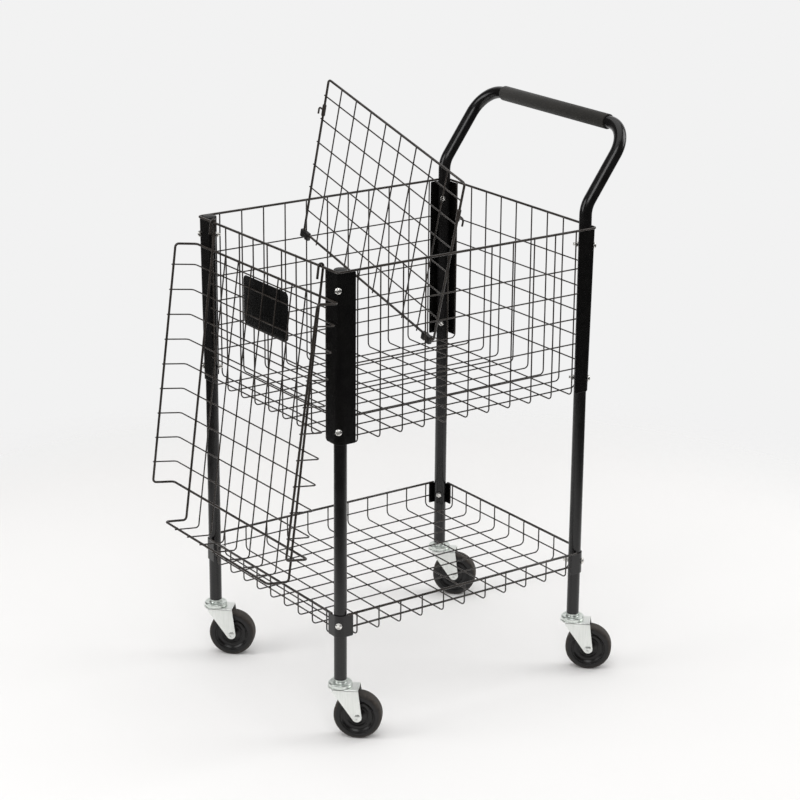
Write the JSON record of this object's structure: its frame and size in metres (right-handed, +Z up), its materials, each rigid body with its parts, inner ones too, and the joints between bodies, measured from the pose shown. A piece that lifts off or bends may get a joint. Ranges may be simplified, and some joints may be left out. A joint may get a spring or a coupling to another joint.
{
  "type": "ball cart",
  "caption": "Rolling wire ball cart: deep upper basket, shallow lower tray, tube legs on swivel casters, bent push handle with grip, hook-on mesh lid and loose mesh divider.",
  "frame": {"origin": "on the floor, under the middle of the bounding box", "axes": "+X from the lid side to the handle side, +Y to the right side seen from the handle, +Z up"},
  "size_m": [0.8344, 0.5636, 1.1986],
  "materials": {
    "black_paint": "satin black powder coat on steel wire and sheet",
    "tube_paint": "glossier black paint on round steel tube",
    "black_plastic": "moulded black plastic",
    "grip_foam": "dull charcoal foam rubber",
    "tyre_rubber": "moulded black rubber, slightly worn",
    "zinc": "bright zinc-plated pressed steel",
    "chrome": "polished plated steel raceway",
    "bolt_nickel": "plated dome-head bolts and nuts"
  },
  "bodies": {
    "cart_frame": {"leg_front_left": "tube_paint", "corner_plate_front_left": "black_paint", "tray_bracket_front_left": "black_paint", "bolt_upper_front_left": "bolt_nickel", "bolt_lower_front_left": "bolt_nickel", "bolt_tray_front_left": "bolt_nickel", "caster_stem_front_left": "chrome", "leg_front_right": "tube_paint", "corner_plate_front_right": "black_paint", "tray_bracket_front_right": "black_paint", "bolt_upper_front_right": "bolt_nickel", "bolt_lower_front_right": "bolt_nickel", "bolt_tray_front_right": "bolt_nickel", "caster_stem_front_right": "chrome", "leg_rear_left": "tube_paint", "corner_plate_rear_left": "black_paint", "tray_bracket_rear_left": "black_paint", "bolt_upper_rear_left": "bolt_nickel", "bolt_lower_rear_left": "bolt_nickel", "bolt_tray_rear_left": "bolt_nickel", "caster_stem_rear_left": "chrome", "leg_rear_right": "tube_paint", "corner_plate_rear_right": "black_paint", "tray_bracket_rear_right": "black_paint", "bolt_upper_rear_right": "bolt_nickel", "bolt_lower_rear_right": "bolt_nickel", "bolt_tray_rear_right": "bolt_nickel", "caster_stem_rear_right": "chrome", "leg_plug_front_left": "black_plastic", "leg_plug_front_right": "black_plastic", "handle_tube": "tube_paint", "handle_grip": "grip_foam", "basket_rim": "black_paint", "basket_floor": "black_paint", "basket_wall_front": "black_paint", "basket_wall_rear": "black_paint", "basket_wall_left": "black_paint", "basket_wall_right": "black_paint", "tray_rim": "black_paint", "tray_floor": "black_paint", "tray_wall_front": "black_paint", "tray_wall_rear": "black_paint", "tray_wall_left": "black_paint", "tray_wall_right": "black_paint", "nameplate": "black_plastic"},
    "lid": {"lid": "black_paint"},
    "divider": {"divider": "black_paint", "divider_clip_left": "black_plastic", "divider_clip_right": "black_plastic"},
    "fork_front_left": {"caster_fork_front_left": "zinc"},
    "wheel_front_left": {"caster_wheel_front_left": "tyre_rubber"},
    "fork_front_right": {"caster_fork_front_right": "zinc"},
    "wheel_front_right": {"caster_wheel_front_right": "tyre_rubber"},
    "fork_rear_left": {"caster_fork_rear_left": "zinc"},
    "wheel_rear_left": {"caster_wheel_rear_left": "tyre_rubber"},
    "fork_rear_right": {"caster_fork_rear_right": "zinc"},
    "wheel_rear_right": {"caster_wheel_rear_right": "tyre_rubber"}
  },
  "joints": [
    {"name": "lid_hinge", "type": "hinge", "parent": "cart_frame", "child": "lid", "pos_m": [-0.28907, 0.01721, 0.934], "axis": [0, 1, 0], "range_deg": [0, 180]},
    {"name": "divider_lift", "type": "slide", "parent": "cart_frame", "child": "divider", "axis": [0, -0.274, 0.9617], "range_m": [0, 0.25]},
    {"name": "swivel_front_left", "type": "hinge", "parent": "cart_frame", "child": "fork_front_left", "pos_m": [-0.27387, -0.21759, 0.1194], "axis": [0, 0, 1], "continuous": true},
    {"name": "roll_front_left", "type": "hinge", "parent": "fork_front_left", "child": "wheel_front_left", "pos_m": [-0.24808, -0.2408, 0.04711], "axis": [0.6691, 0.7431, 0], "continuous": true},
    {"name": "swivel_front_right", "type": "hinge", "parent": "cart_frame", "child": "fork_front_right", "pos_m": [-0.27387, 0.25201, 0.1194], "axis": [0, 0, 1], "continuous": true},
    {"name": "roll_front_right", "type": "hinge", "parent": "fork_front_right", "child": "wheel_front_right", "pos_m": [-0.24808, 0.22879, 0.04711], "axis": [0.6691, 0.7431, 0], "continuous": true},
    {"name": "swivel_rear_left", "type": "hinge", "parent": "cart_frame", "child": "fork_rear_left", "pos_m": [0.29773, -0.21759, 0.1194], "axis": [0, 0, 1], "continuous": true},
    {"name": "roll_rear_left", "type": "hinge", "parent": "fork_rear_left", "child": "wheel_rear_left", "pos_m": [0.32352, -0.2408, 0.04711], "axis": [0.6691, 0.7431, 0], "continuous": true},
    {"name": "swivel_rear_right", "type": "hinge", "parent": "cart_frame", "child": "fork_rear_right", "pos_m": [0.29773, 0.25201, 0.1194], "axis": [0, 0, 1], "continuous": true},
    {"name": "roll_rear_right", "type": "hinge", "parent": "fork_rear_right", "child": "wheel_rear_right", "pos_m": [0.32352, 0.22879, 0.04711], "axis": [0.6691, 0.7431, 0], "continuous": true}
  ]
}
